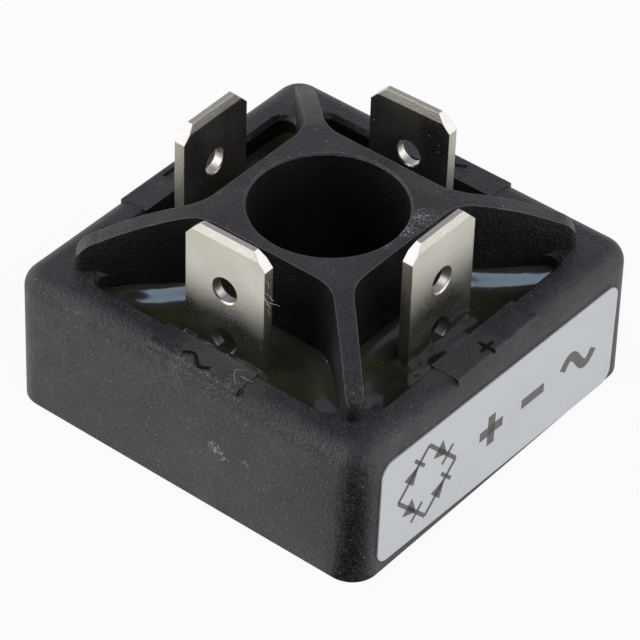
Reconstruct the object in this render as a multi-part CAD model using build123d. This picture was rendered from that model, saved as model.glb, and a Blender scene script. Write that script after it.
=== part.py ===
from build123d import *
import math
import os

os.makedirs("parts", exist_ok=True)

# Scale of every length is the millimetre, Z runs up and the base lies on Z = 0

# Housing outside
HOUSING_SIDE = 28.6
HOUSING_CORNER_R = 1.9
HOUSING_DRAFT_DEG = 0.45
RIM_TOP_Z = 10.4
RIM_OUTER_R = 1.4
RIM_INNER_CHAMFER = 0.3
BASE_EDGE_CHAMFER = 0.1

# Raised pad on each side of the rim, its two ends from the middle of that side
PAD_RISE = 0.04
PAD_OUTER_BACK = 0.4
PAD_OUTER_R = 0.3
PAD_ENDS = [(-3.2, 4.1), (-4.15, 4.15), (-4.35, 4.15), (-4.15, 4.15)]

# Wells, centre boss and bore
WALL_THICK = 2.6
WELL_CORNER_R = 0.85
BORE_R = 5.25
BORE_EDGE_CHAMFER = 0.12
BOSS_WALL = 0.9
BOSS_TOP_Z = 14.57
BOSS_FLOW_R = 3.0
BOSS_FLOW_ZONE = 1.05
BOSS_TUBE_R = 0.6

# Diagonal ribs, which slope down from the boss and end in a rounded nose
RIB_THICK = 1.26
RIB_END_THICK = 1.12
RIB_END_ROUND = 0.5
RIB_BOTTOM_Z = 6.2
RIB_END_BACK = 0.45
RIB_SLOPE_BACK = 0.4
RIB_CROWN = 0.28
RIB_NOSE_LENGTH = 1.35
RIB_NOSE_START_Z = 12.72
RIB_NOSE_MID_BACK = 0.42
RIB_NOSE_MID_Z = 12.15
RIB_NOSE_SIDE_Z = 11.1

# Base plate and sealing bead
PLATE_LEDGE = 1.05
PLATE_CORNER_R = 1.0
PLATE_THICK = 2.0
PLATE_EDGE_CHAMFER = 0.2
PLATE_GAP = 0.05
SCREW_HOLE_R = 2.65
BEAD_THICK = 0.2
CAVITY_CORNER_R = 1.0

# Substrate stack on the base plate
STACK_GAP = 0.5
STACK_BOSS_GAP = 0.45
STACK_CORNER_R = 0.8
COPPER_INSET = 0.35
SOLDER_THICK = 0.15
BACK_COPPER_THICK = 0.3
CERAMIC_THICK = 0.63
TRACK_THICK = 0.3
TRACK_GAP = 0.7
TRACK_CORNER_R = 0.4

# Diode dice and jumper clips
DIE_EDGE_GAP = 0.35
DIE_THICK = 0.35
DIE_BEVEL = 0.12
CLIP_THICK = 0.25
CLIP_WIDTH_SHARE = 0.56
CLIP_ARCH = 0.7
CLIP_PAD = 1.6
CLIP_RAMP = 0.45
CLIP_LAND = 1.3
CLIP_LAND_GAP = 0.4

# Terminals
BLADE_WIDTH = 6.3
BLADE_THICK = 0.8
BLADE_PLACE_SHARE = 0.568
BLADE_TIP_Z = 17.65
BLADE_CUT_W = 1.05
BLADE_CUT_H = 1.1
BLADE_BEVEL_H = 0.55
BLADE_BEVEL_D = 0.2
BLADE_HOLE_R = 0.9
BLADE_HOLE_LIP = 0.1
UPPER_HOLE_Z = 13.5
LOWER_HOLE_Z = 9.45
FOOT_EDGE_GAP = 0.4
FOOT_WIDTH = 4.2
FOOT_BEND_R = 0.5
FOOT_NECK = 1.4

# Seat of each blade as soldered: shift sideways, shift outward, turn in degrees
BLADE_SEATS = [(-0.26, 0.17, 0.8), (-0.2, -0.39, -0.2), (0.27, -0.35, 1.5), (0.27, 0.25, 0.8)]

# Potting resin
RESIN_Z = 8.4
MENISCUS = 0.5
MENISCUS_EDGE = 0.06

# Side label
LABEL_END_GAP = 2.0
LABEL_HEIGHT = 8.0
LABEL_THICK = 0.1
LABEL_CORNER_R = 1.0
LABEL_MID_Z = 4.5
LABEL_TILT_DEG = -1.75

# Sizes that follow from the ones above
HALF = HOUSING_SIDE / 2
WELL_HALF = HALF - WALL_THICK
BOSS_HALF = BORE_R + BOSS_WALL
PLATE_HALF = WELL_HALF + PLATE_LEDGE
RIB_END_R = WELL_HALF * math.sqrt(2) - RIB_END_BACK
RIB_ROOT_R = BOSS_HALF * math.sqrt(2)
RIB_SLOPE_START_R = BOSS_HALF * math.sqrt(2) - RIB_SLOPE_BACK
RIB_NOSE_START_R = RIB_END_R - RIB_NOSE_LENGTH
RIB_MID_R = (RIB_SLOPE_START_R + RIB_NOSE_START_R) / 2
RIB_MID_Z = (BOSS_TOP_Z + RIB_NOSE_START_Z) / 2 + RIB_CROWN
LEDGE_Z = PLATE_THICK + BEAD_THICK
STACK_HALF = WELL_HALF - STACK_GAP
STACK_HOLE_HALF = BOSS_HALF + STACK_BOSS_GAP
SOLDER_TOP = PLATE_THICK + SOLDER_THICK
BACK_TOP = SOLDER_TOP + BACK_COPPER_THICK
CERAMIC_TOP = BACK_TOP + CERAMIC_THICK
TRACK_TOP = CERAMIC_TOP + TRACK_THICK
TRACK_OUT = STACK_HALF - COPPER_INSET
TRACK_IN = STACK_HOLE_HALF + COPPER_INSET
TRACK_AC_END = TRACK_IN - TRACK_GAP
DIE_MID = (TRACK_OUT + TRACK_IN) / 2
DIE_SIDE = TRACK_OUT - TRACK_IN - 2 * DIE_EDGE_GAP
CLIP_WIDTH = CLIP_WIDTH_SHARE * DIE_SIDE
CLIP_REACH = DIE_MID - TRACK_AC_END + CLIP_LAND + CLIP_LAND_GAP
BLADE_MID = BOSS_HALF + BLADE_PLACE_SHARE * (WELL_HALF - BOSS_HALF)
FOOT_END = BLADE_MID - STACK_HOLE_HALF - FOOT_EDGE_GAP
LABEL_LENGTH = HOUSING_SIDE - 2 * LABEL_END_GAP
QUARTER_TURN = 90
SIDES = range(4)


def save(shape, name, label):
    """Write one sub-part to its own file."""
    shape.label = label
    export_step(shape, f"parts/{name}.step")


def turned(shape, side):
    """Turn a shape made for the front side to another side of the square."""
    return Rot(0, 0, QUARTER_TURN * side) * shape


def square_prism(half, corner_r, z0, z1):
    """Upright square bar with rounded corners between two heights."""
    outline = RectangleRounded(2 * half, 2 * half, corner_r)
    return extrude(Pos(0, 0, z0) * outline, z1 - z0)


def edges_at(shape, z):
    """Edges that lie flat at one height."""
    flat = shape.edges().filter_by(lambda e: abs(e.bounding_box().size.Z) < 1e-4)
    return flat.filter_by(lambda e: abs(e.center().Z - z) < 1e-4)


def outer_block():
    """Solid outside form of the housing, drafted and rounded."""
    outline = RectangleRounded(HOUSING_SIDE, HOUSING_SIDE, HOUSING_CORNER_R)
    block = extrude(outline, RIM_TOP_Z, taper=HOUSING_DRAFT_DEG)
    block = fillet(edges_at(block, RIM_TOP_Z), RIM_OUTER_R)
    return chamfer(edges_at(block, 0), BASE_EDGE_CHAMFER)


def rib_side_x(out):
    """Where the tapering side of the right front rib crosses a line that far out."""
    taper = (RIB_THICK - RIB_END_THICK) / 2 / (RIB_END_R - RIB_ROOT_R)
    offset = math.sqrt(2) * (RIB_THICK / 2 + taper * RIB_ROOT_R)
    return (out * (1 + taper) - offset) / (1 - taper)


def rib_pair_outline():
    """Plan of two opposite ribs, tapering outward to rounded ends."""
    root = RIB_THICK / 2
    tip = RIB_END_THICK / 2
    corners = Polyline(
        (RIB_END_R, -tip),
        (RIB_END_R, tip),
        (RIB_ROOT_R, root),
        (-RIB_ROOT_R, root),
        (-RIB_END_R, tip),
        (-RIB_END_R, -tip),
        (-RIB_ROOT_R, -root),
        (RIB_ROOT_R, -root),
        close=True,
    )
    plan = make_face(corners)
    ends = plan.vertices().filter_by(lambda v: abs(v.X) > RIB_END_R - 0.01)
    return fillet(ends, RIB_END_ROUND)


def front_well():
    """Plan of the well on the front side, a trapezium with rounded corners."""
    wide = rib_side_x(WELL_HALF)
    narrow = rib_side_x(BOSS_HALF)
    corners = Polyline(
        (-wide, -WELL_HALF),
        (wide, -WELL_HALF),
        (narrow, -BOSS_HALF),
        (-narrow, -BOSS_HALF),
        close=True,
    )
    plan = make_face(corners)
    near = plan.vertices().filter_by(lambda v: v.Y > -BOSS_HALF - 0.01)
    plan = fillet(near, BOSS_FLOW_R)
    far = plan.vertices().filter_by(lambda v: v.Y < -WELL_HALF + 0.01)
    sharp = far.sort_by(Axis.X)
    return fillet([sharp[0], sharp[-1]], WELL_CORNER_R)


def well_outline():
    """Plan of the four wells between the boss, the ribs and the wall."""
    plan = Sketch() + [turned(front_well(), side) for side in SIDES]
    return plan


def star_outline():
    """Plan of the boss with its four ribs flowing out along the diagonals."""
    flow_half = BOSS_HALF + BOSS_FLOW_ZONE
    plan = Rectangle(2 * flow_half, 2 * flow_half) - well_outline()
    for angle in (45, 135):
        plan += Rot(0, 0, angle) * rib_pair_outline()
    return plan


def rib_profile():
    """Side view of two opposite ribs and the boss, drawn in the XZ plane."""
    right_side = [
        Line((0, RIB_BOTTOM_Z), (RIB_END_R, RIB_BOTTOM_Z)),
        Line((RIB_END_R, RIB_BOTTOM_Z), (RIB_END_R, RIB_NOSE_SIDE_Z)),
    ]
    right_side.append(
        ThreePointArc(
            (RIB_END_R, RIB_NOSE_SIDE_Z),
            (RIB_END_R - RIB_NOSE_MID_BACK, RIB_NOSE_MID_Z),
            (RIB_NOSE_START_R, RIB_NOSE_START_Z),
        )
    )
    right_side.append(
        ThreePointArc(
            (RIB_NOSE_START_R, RIB_NOSE_START_Z),
            (RIB_MID_R, RIB_MID_Z),
            (RIB_SLOPE_START_R, BOSS_TOP_Z),
        )
    )
    right_side.append(Line((RIB_SLOPE_START_R, BOSS_TOP_Z), (0, BOSS_TOP_Z)))
    right_side.append(Line((0, BOSS_TOP_Z), (0, RIB_BOTTOM_Z)))
    half_face = Plane.XZ * make_face(right_side)
    bar = extrude(half_face, HOUSING_SIDE, both=True)
    return bar + mirror(bar, Plane.YZ)


def star_body():
    """Boss and ribs as one solid with sloping ribs and rounded rib ends."""
    star = extrude(Pos(0, 0, RIB_BOTTOM_Z) * star_outline(), BOSS_TOP_Z)
    for angle in (45, 135):
        star = star & (Rot(0, 0, angle) * rib_profile())
    return star


def rim_pad(start, end):
    """Flat pad on the front side of the rim, with its outer edge eased."""
    outer = HALF - PAD_OUTER_BACK
    block = Box(end - start, outer - BOSS_HALF, RIM_OUTER_R + PAD_RISE, align=Align.MIN)
    pad = Pos(start, -outer, RIM_TOP_Z - RIM_OUTER_R) * block
    outer_edge = edges_at(pad, RIM_TOP_Z + PAD_RISE).sort_by(Axis.Y)[0]
    return fillet(outer_edge, PAD_OUTER_R)


def housing():
    """Moulded housing with wells, boss, ribs, rim pads and plate recess."""
    wells = extrude(well_outline(), BOSS_TOP_Z)
    body = outer_block() - wells
    body = chamfer(edges_at(body, RIM_TOP_Z), RIM_INNER_CHAMFER)
    for side in SIDES:
        body += turned(rim_pad(*PAD_ENDS[side]), side) - wells
    body += star_body()
    cavity = square_prism(WELL_HALF, CAVITY_CORNER_R, 0, RIB_BOTTOM_Z)
    boss_tube = square_prism(BOSS_HALF, BOSS_TUBE_R, PLATE_THICK, RIB_BOTTOM_Z)
    recess = square_prism(PLATE_HALF + PLATE_GAP, PLATE_CORNER_R, 0, LEDGE_Z)
    body = body - (cavity + recess) + boss_tube
    bore = Pos(0, 0, PLATE_THICK) * extrude(Circle(BORE_R), BOSS_TOP_Z)
    body -= bore
    rim_edge = edges_at(body, BOSS_TOP_Z).filter_by(GeomType.CIRCLE)
    rim_edge = rim_edge.filter_by(lambda e: abs(e.radius - BORE_R) < 0.01)
    return chamfer(rim_edge, BORE_EDGE_CHAMFER)


def base_plate():
    """Metal plate that closes the housing and carries the heat away."""
    plate = square_prism(PLATE_HALF, PLATE_CORNER_R, 0, PLATE_THICK)
    plate -= extrude(Circle(SCREW_HOLE_R), PLATE_THICK)
    return chamfer(edges_at(plate, 0), PLATE_EDGE_CHAMFER)


def seal_bead():
    """Adhesive ring between the ledge of the housing and the plate."""
    outer = square_prism(PLATE_HALF, PLATE_CORNER_R, PLATE_THICK, LEDGE_Z)
    inner = square_prism(WELL_HALF, CAVITY_CORNER_R, PLATE_THICK, LEDGE_Z)
    return outer - inner


def stack_ring(z0, z1, inset):
    """One layer of the square ring stack round the bore."""
    outer = square_prism(STACK_HALF - inset, STACK_CORNER_R, z0, z1)
    inner = square_prism(STACK_HOLE_HALF + inset, STACK_CORNER_R, z0, z1)
    return outer - inner


def track(x0, x1, y0, y1):
    """One flat copper track on the ceramic."""
    plan = RectangleRounded(x1 - x0, y1 - y0, TRACK_CORNER_R)
    spot = Pos((x0 + x1) / 2, (y0 + y1) / 2, CERAMIC_TOP)
    return extrude(spot * plan, TRACK_THICK)


def tracks():
    """Plus, minus and the two alternating-current tracks round the ring."""
    return {
        "track_plus": track(TRACK_IN, TRACK_OUT, -TRACK_OUT, TRACK_OUT),
        "track_minus": track(-TRACK_OUT, -TRACK_IN, -TRACK_AC_END, TRACK_AC_END),
        "track_ac_front": track(-TRACK_OUT, TRACK_AC_END, -TRACK_OUT, -TRACK_IN),
        "track_ac_back": track(-TRACK_OUT, TRACK_AC_END, TRACK_IN, TRACK_OUT),
    }


def die(sign_x, sign_y):
    """Silicon die soldered at one corner of the ring, edges bevelled."""
    chip = extrude(Rectangle(DIE_SIDE, DIE_SIDE), DIE_THICK)
    chip = chamfer(edges_at(chip, DIE_THICK), DIE_BEVEL)
    return Pos(sign_x * DIE_MID, sign_y * DIE_MID, TRACK_TOP) * chip


def clip_path():
    """Side view line of a jumper clip, from die top to the next track."""
    low = CLIP_THICK / 2
    arch_z = DIE_THICK + CLIP_ARCH + low
    land_start = CLIP_REACH - CLIP_LAND
    return [
        (-CLIP_PAD / 2, DIE_THICK + low),
        (CLIP_PAD / 2, DIE_THICK + low),
        (CLIP_PAD / 2 + CLIP_RAMP, arch_z),
        (land_start - CLIP_RAMP, arch_z),
        (land_start, low),
        (CLIP_REACH, low),
    ]


def jumper_clip():
    """Bent copper strip drawn along +X from the middle of a die."""
    section = Plane.XZ * trace(Polyline(clip_path()), CLIP_THICK)
    strip = extrude(section, CLIP_WIDTH / 2, both=True)
    return Pos(0, 0, TRACK_TOP) * strip


def clip_at(sign_x, sign_y, heading):
    """Jumper clip starting on one die and leading along a heading."""
    spot = Pos(sign_x * DIE_MID, sign_y * DIE_MID, 0)
    return spot * Rot(0, 0, heading) * jumper_clip()


def blade_front():
    """Blade seen from outside, before the bevels and holes."""
    half = BLADE_WIDTH / 2
    foot_half = FOOT_WIDTH / 2
    bottom = TRACK_TOP + BLADE_THICK
    neck = bottom + FOOT_NECK
    shoulder = neck + (half - foot_half)
    outline = Polyline(
        (-foot_half, bottom),
        (foot_half, bottom),
        (foot_half, neck),
        (half, shoulder),
        (half, BLADE_TIP_Z - BLADE_CUT_H),
        (half - BLADE_CUT_W, BLADE_TIP_Z),
        (-half + BLADE_CUT_W, BLADE_TIP_Z),
        (-half, BLADE_TIP_Z - BLADE_CUT_H),
        (-half, shoulder),
        (-foot_half, neck),
        close=True,
    )
    return extrude(Plane.XZ * make_face(outline), BLADE_THICK / 2, both=True)


def blade_side_profile():
    """Side view of blade and foot: tip bevels, bend and solder foot."""
    out = -BLADE_THICK / 2
    inn = BLADE_THICK / 2
    low = TRACK_TOP
    high = TRACK_TOP + BLADE_THICK
    tip = BLADE_TIP_Z
    outer_r = FOOT_BEND_R + BLADE_THICK
    s = math.sqrt(0.5)
    lines = [
        Line((out, low + outer_r), (out, tip - BLADE_BEVEL_H)),
        Line((out, tip - BLADE_BEVEL_H), (out + BLADE_BEVEL_D, tip)),
        Line((out + BLADE_BEVEL_D, tip), (inn - BLADE_BEVEL_D, tip)),
        Line((inn - BLADE_BEVEL_D, tip), (inn, tip - BLADE_BEVEL_H)),
        Line((inn, tip - BLADE_BEVEL_H), (inn, high + FOOT_BEND_R)),
        ThreePointArc(
            (inn, high + FOOT_BEND_R),
            (inn + FOOT_BEND_R * (1 - s), high + FOOT_BEND_R * (1 - s)),
            (inn + FOOT_BEND_R, high),
        ),
        Line((inn + FOOT_BEND_R, high), (FOOT_END, high)),
        Line((FOOT_END, high), (FOOT_END, low)),
        Line((FOOT_END, low), (out + outer_r, low)),
        ThreePointArc(
            (out + outer_r, low),
            (out + outer_r * (1 - s), low + outer_r * (1 - s)),
            (out, low + outer_r),
        ),
    ]
    return Plane.YZ * make_face(lines)


def punched(blade, z):
    """Blade with one round hole through it, lips bevelled on both faces."""
    punch = Rot(90, 0, 0) * Cylinder(BLADE_HOLE_R, 2 * BLADE_THICK)
    blade = blade - Pos(0, 0, z) * punch
    rims = blade.edges().filter_by(GeomType.CIRCLE)
    rims = rims.filter_by(lambda e: abs(e.arc_center.Z - z) < 1e-3)
    return chamfer(rims, BLADE_HOLE_LIP)


def terminal(side):
    """Tinned blade with two holes and a bent solder foot."""
    front = blade_front()
    foot_zone = Box(FOOT_WIDTH, 4 * FOOT_END, 2 * (BLADE_THICK + FOOT_NECK))
    foot_zone = Pos(0, 0, TRACK_TOP) * foot_zone
    wide = extrude(blade_side_profile(), BLADE_WIDTH / 2, both=True)
    blade = wide & (front + foot_zone)
    for z in (UPPER_HOLE_Z, LOWER_HOLE_Z):
        blade = punched(blade, z)
    sideways, outward, turn = BLADE_SEATS[side]
    seat = Pos(sideways, -BLADE_MID - outward, 0) * Rot(0, 0, turn)
    return turned(seat * blade, side)


def resin_pool():
    """Space above the resin: level floor with the edge climbing each wall."""
    pool = extrude(Pos(0, 0, RESIN_Z) * offset(well_outline(), -MENISCUS_EDGE), 3)
    return chamfer(edges_at(pool, RESIN_Z), MENISCUS - MENISCUS_EDGE)


def resin(inner_parts):
    """Potting resin filling the housing round every inner part."""
    top = RESIN_Z + MENISCUS - MENISCUS_EDGE
    body = square_prism(WELL_HALF, CAVITY_CORNER_R, PLATE_THICK, RIB_BOTTOM_Z)
    body += extrude(Pos(0, 0, RIB_BOTTOM_Z) * well_outline(), top - RIB_BOTTOM_Z)
    body -= square_prism(BOSS_HALF, BOSS_TUBE_R, 0, RIB_BOTTOM_Z)
    body -= resin_pool()
    for part in inner_parts:
        body -= part
    return body


def side_label():
    """Self-adhesive label on the right-hand face."""
    lean = math.radians(HOUSING_DRAFT_DEG)
    face_x = HALF - LABEL_MID_Z * math.tan(lean)
    plan = RectangleRounded(LABEL_LENGTH, LABEL_HEIGHT, LABEL_CORNER_R)
    sheet = extrude(Rot(0, 0, LABEL_TILT_DEG) * plan, LABEL_THICK)
    outward = (math.cos(lean), 0, math.sin(lean))
    face = Plane(origin=(face_x, 0, LABEL_MID_Z), x_dir=(0, 1, 0), z_dir=outward)
    return face * sheet


def build():
    """Make every sub-part and write the files."""
    inner = {}
    inner["solder_layer"] = stack_ring(PLATE_THICK, SOLDER_TOP, COPPER_INSET)
    inner["back_copper"] = stack_ring(SOLDER_TOP, BACK_TOP, COPPER_INSET)
    inner["ceramic_substrate"] = stack_ring(BACK_TOP, CERAMIC_TOP, 0)
    inner.update(tracks())
    inner["diode_plus_front"] = die(1, -1)
    inner["diode_plus_back"] = die(1, 1)
    inner["diode_minus_front"] = die(-1, -1)
    inner["diode_minus_back"] = die(-1, 1)
    inner["clip_plus_front"] = clip_at(1, -1, 180)
    inner["clip_plus_back"] = clip_at(1, 1, 180)
    inner["clip_minus_front"] = clip_at(-1, -1, 90)
    inner["clip_minus_back"] = clip_at(-1, 1, -90)
    inner["terminal_ac_front"] = terminal(0)
    inner["terminal_plus"] = terminal(1)
    inner["terminal_ac_back"] = terminal(2)
    inner["terminal_minus"] = terminal(3)
    outer = {
        "housing": housing(),
        "base_plate": base_plate(),
        "seal_bead": seal_bead(),
        "potting_resin": resin(inner.values()),
        "side_label": side_label(),
    }
    for name, shape in {**outer, **inner}.items():
        save(shape, name, name.replace("_", " "))


build()
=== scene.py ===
"""Looks of a potted bridge rectifier: moulded housing, resin, tinned blades and side label."""

import logging
import math
from dataclasses import dataclass, field
from enum import Enum
from functools import partial, reduce

import bmesh
import bpy
from mathutils import Matrix, Vector, noise


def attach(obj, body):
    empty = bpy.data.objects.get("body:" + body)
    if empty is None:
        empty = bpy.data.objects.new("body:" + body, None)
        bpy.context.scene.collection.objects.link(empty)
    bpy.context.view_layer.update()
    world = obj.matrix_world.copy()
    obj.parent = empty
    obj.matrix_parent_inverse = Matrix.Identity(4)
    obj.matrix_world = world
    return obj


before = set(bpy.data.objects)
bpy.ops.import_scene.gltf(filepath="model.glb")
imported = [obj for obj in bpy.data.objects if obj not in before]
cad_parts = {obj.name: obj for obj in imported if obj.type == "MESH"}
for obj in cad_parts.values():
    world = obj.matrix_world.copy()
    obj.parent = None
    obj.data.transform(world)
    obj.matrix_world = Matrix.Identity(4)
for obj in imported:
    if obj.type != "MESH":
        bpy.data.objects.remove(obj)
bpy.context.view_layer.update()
LOG = logging.getLogger("rectifier")

MM = 0.001
ROOT = "root"
MERGE_WITHIN = 1e-7
SMOOTH_BELOW = math.radians(35)
ORIGIN = (0.0, 0.0, 0.0)
LEVEL = (1.0, 1.0, 0.0)
WHITE = (1.0, 1.0, 1.0)

Pair = tuple[float, float]
Point = tuple[float, float, float]
Colour = tuple[float, float, float]
Scuff = tuple[Point, float, float, float]
Piece = bpy.types.Object
Material = bpy.types.Material
Shape = bmesh.types.BMesh
Ring = list[bmesh.types.BMVert]
Tree = bpy.types.NodeTree
Node = bpy.types.Node
Outputs = bpy.types.NodeOutputs
Socket = bpy.types.NodeSocket
Input = Socket | Tree | Point | float | str


class Side(Enum):
    """The four sides of the square, with the turn about Z that brings the front there."""

    FRONT = 0
    RIGHT = 90
    BACK = 180
    LEFT = 270

    @property
    def turn(self) -> Matrix:
        """Rotation that carries a shape made for the front side to this side."""
        return Matrix.Rotation(math.radians(self.value), 4, "Z")


class Polarity(Enum):
    """Signs moulded on the rim pads."""

    WAVE = "wave"
    PLUS = "plus"
    MINUS = "minus"


# Shader node helpers


class Nodes:
    """Short way to add and join shader nodes in one tree."""

    def __init__(self, tree: Tree) -> None:
        """Keep the tree that the nodes go to."""
        self.tree = tree

    def put(self, socket: Socket, value: Input) -> None:
        """Link an output to a socket, or set the socket's own value.

        Args:
            socket: the input that takes the value.
            value: an output, a number, a vector or a colour without alpha.
        """
        if isinstance(value, Socket):
            self.tree.links.new(value, socket)
        elif socket.type == "RGBA":
            socket.default_value = (*value, 1.0)
        else:
            socket.default_value = value

    def add(self, kind: str, **values: Input) -> Node:
        """Add one node and set it up.

        Args:
            kind: Blender's name of the node's type.
            **values: inputs by name, with underscores for spaces, or the node's options.

        Returns:
            The new node.
        """
        node = self.tree.nodes.new(kind)
        for key, value in values.items():
            name = key.replace("_", " ")
            if name in node.inputs:
                self.put(node.inputs[name], value)
            else:
                setattr(node, key, value)
        return node

    def pair(self, kind: str, operation: str, a: Input, b: Input) -> Outputs:
        """Add a node that works on two values.

        Args:
            kind: Blender's name of the node's type.
            operation: Blender's name of the operation.
            a: first value or output.
            b: second value or output.

        Returns:
            The node's outputs.
        """
        node = self.add(kind, operation=operation)
        self.put(node.inputs[0], a)
        self.put(node.inputs[1], b)
        return node.outputs

    def math(self, operation: str, a: Input, b: Input = 0.0) -> Socket:
        """Result of a Math node."""
        return self.pair("ShaderNodeMath", operation, a, b)[0]

    def vector(self, operation: str, a: Input, b: Input = ORIGIN) -> Socket:
        """Result of a Vector Math node, which is a number for a dot product or a distance."""
        number = operation in ("DOT_PRODUCT", "DISTANCE")
        return self.pair("ShaderNodeVectorMath", operation, a, b)["Value" if number else "Vector"]

    def times(self, *values: Input) -> Socket:
        """Product of two or more values."""
        return reduce(partial(self.math, "MULTIPLY"), values)

    def largest(self, *values: Input) -> Socket:
        """Largest of two or more values."""
        return reduce(partial(self.math, "MAXIMUM"), values)

    def total(self, *terms: tuple[Socket, float]) -> Socket:
        """Sum of two or more values, each times its weight."""
        return reduce(partial(self.math, "ADD"), [self.times(*term) for term in terms])

    def ramp(self, value: Input, low: float, high: float, start: float = 0.0, end: float = 1.0) -> Socket:
        """Smooth step from start to end while the value goes from low to high."""
        limits = {"Value": value, "From_Min": low, "From_Max": high, "To_Min": start, "To_Max": end}
        return self.add("ShaderNodeMapRange", interpolation_type="SMOOTHSTEP", **limits).outputs["Result"]

    def mix(self, share: Input, first: Input, second: Input) -> Socket:
        """Mix two colours.

        Args:
            share: share of the second colour.
            first: first colour.
            second: second colour.

        Returns:
            The mixed colour.
        """
        node = self.add("ShaderNodeMix", data_type="RGBA")
        for index, value in ((0, share), (6, first), (7, second)):
            self.put(node.inputs[index], value)
        return node.outputs[2]

    def cover(self, base: Input, *layers: tuple[Input, Input]) -> Socket:
        """Colour covered with others in turn, each given as its mask and its colour."""
        return reduce(lambda under, layer: self.mix(layer[0], under, layer[1]), layers, base)

    def noise(self, place: Socket, scale: float, detail: float, rough: float) -> Socket:
        """Cloudy noise between 0 and 1, whose scale is in waves to the metre."""
        node = self.add("ShaderNodeTexNoise", Vector=place, Scale=scale, Detail=detail, Roughness=rough)
        return node.outputs["Fac"]

    def spot(self, place: Socket, centre: Point, inner: float, outer: float) -> Socket:
        """Soft round mask, 1 inside the inner radius and 0 past the outer one."""
        return self.ramp(self.vector("DISTANCE", place, centre), inner, outer, 1.0, 0.0)

    def place(self) -> Socket:
        """The point's own place in the part's frame."""
        return self.add("ShaderNodeTexCoord").outputs["Object"]

    def split(self, vector: Socket) -> Outputs:
        """The three values X, Y and Z of a vector."""
        return self.add("ShaderNodeSeparateXYZ", Vector=vector).outputs

    def level_way(self, vector: Socket) -> Socket:
        """Direction of a vector as seen from above."""
        return self.vector("NORMALIZE", self.vector("MULTIPLY", vector, LEVEL))

    def group(self, tree: Tree, **values: float) -> Outputs:
        """Outputs of a shared group, put into this tree with its own values."""
        return self.add("ShaderNodeGroup", node_tree=tree, **values).outputs


class Group(Nodes):
    """Nodes of a new shared group, whose inputs and outputs are plain numbers."""

    def __init__(self, name: str, inputs: tuple[str, ...], outputs: tuple[str, ...]) -> None:
        """Make the group.

        Args:
            name: the group's name.
            inputs: names of its inputs.
            outputs: names of its outputs.
        """
        super().__init__(bpy.data.node_groups.new(name, "ShaderNodeTree"))
        for way, labels in (("INPUT", inputs), ("OUTPUT", outputs)):
            for label in labels:
                self.tree.interface.new_socket(label, in_out=way, socket_type="NodeSocketFloat")
        self.given = self.add("NodeGroupInput").outputs
        self.result = self.add("NodeGroupOutput").inputs


class Surface(Nodes):
    """Nodes of a new material, with its Principled shader."""

    def __init__(self, name: str) -> None:
        """Make the material.

        Args:
            name: the material's name.
        """
        self.material = bpy.data.materials.new(name)
        self.material.use_nodes = True
        super().__init__(self.material.node_tree)
        self.shader = self.tree.nodes["Principled BSDF"].inputs

    def wire(self, **values: Input) -> None:
        """Feed the shader's inputs, named with underscores for spaces."""
        for key, value in values.items():
            self.put(self.shader[key.replace("_", " ")], value)

    def bump(self, height: Socket, depth: float, strength: float, **normal: Socket) -> None:
        """Give the shader a relief from a height, of which 1 stands for the depth in metres."""
        node = self.add("ShaderNodeBump", Height=height, Distance=depth, Strength=strength, **normal)
        self.wire(Normal=node.outputs[0])


def grain_group() -> Tree:
    """Fine spark texture of a mould.

    Returns:
        Group with the outputs Height and Mottle.
    """
    nodes = Group("spark_grain", (), ("Height", "Mottle"))
    place = nodes.place()
    fine = nodes.noise(place, 4200.0, 4.0, 0.7)
    finest = nodes.noise(place, 8200.0, 2.0, 0.6)
    wide = nodes.noise(place, 420.0, 4.0, 0.6)
    pits = nodes.add("ShaderNodeTexVoronoi", Vector=place, Scale=5200.0).outputs["Distance"]
    nodes.put(nodes.result["Height"], nodes.total((fine, 0.8), (pits, 0.3)))
    nodes.put(nodes.result["Mottle"], nodes.total((fine, 0.35), (finest, 0.5), (wide, 0.15)))
    return nodes.tree


def dust_group() -> Tree:
    """Pale dust: small specks of two sizes and a thin cloudy haze.

    Returns:
        Group with the inputs Amount and Haze and the output Mask.
    """
    nodes = Group("dust_specks", ("Amount", "Haze"), ("Mask",))
    place = nodes.place()
    cloud = nodes.ramp(nodes.noise(place, 260.0, 5.0, 0.65), 0.45, 0.75)
    mask = nodes.times(cloud, nodes.given["Haze"])
    for scale, share, size in ((2600.0, 0.025, 0.15), (5200.0, 0.13, 0.29)):
        cells = nodes.add("ShaderNodeTexVoronoi", Vector=place, Scale=scale).outputs
        chance, width, bright = nodes.add("ShaderNodeSeparateColor", Color=cells["Color"]).outputs
        chosen = nodes.math("LESS_THAN", chance, nodes.times(nodes.given["Amount"], share))
        inside = nodes.math("LESS_THAN", cells["Distance"], nodes.times(width, size))
        strength = nodes.math("ADD", nodes.times(bright, 0.45), 0.08)
        mask = nodes.largest(mask, nodes.times(chosen, inside, strength))
    nodes.put(nodes.result["Mask"], mask)
    return nodes.tree


def wear_and_highlight_group() -> Tree:
    """Edges worn pale where the rounded normal leaves the true one; the pale line is partly a painted
    highlight of a small rounding.

    Returns:
        Group with the inputs Width and Break and the output Mask.
    """
    nodes = Group("edge_wear_and_highlight", ("Width", "Break"), ("Mask",))
    rounded = nodes.add("ShaderNodeBevel", samples=4, Radius=nodes.given["Width"]).outputs[0]
    true = nodes.add("ShaderNodeNewGeometry").outputs["Normal"]
    edge = nodes.ramp(nodes.vector("DOT_PRODUCT", rounded, true), 0.985, 0.86)
    gaps = nodes.ramp(nodes.noise(nodes.place(), 1500.0, 4.0, 0.7), 0.7, 0.35)
    kept = nodes.math("SUBTRACT", 1.0, nodes.times(nodes.given["Break"], gaps))
    nodes.put(nodes.result["Mask"], nodes.times(edge, kept))
    return nodes.tree


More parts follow.
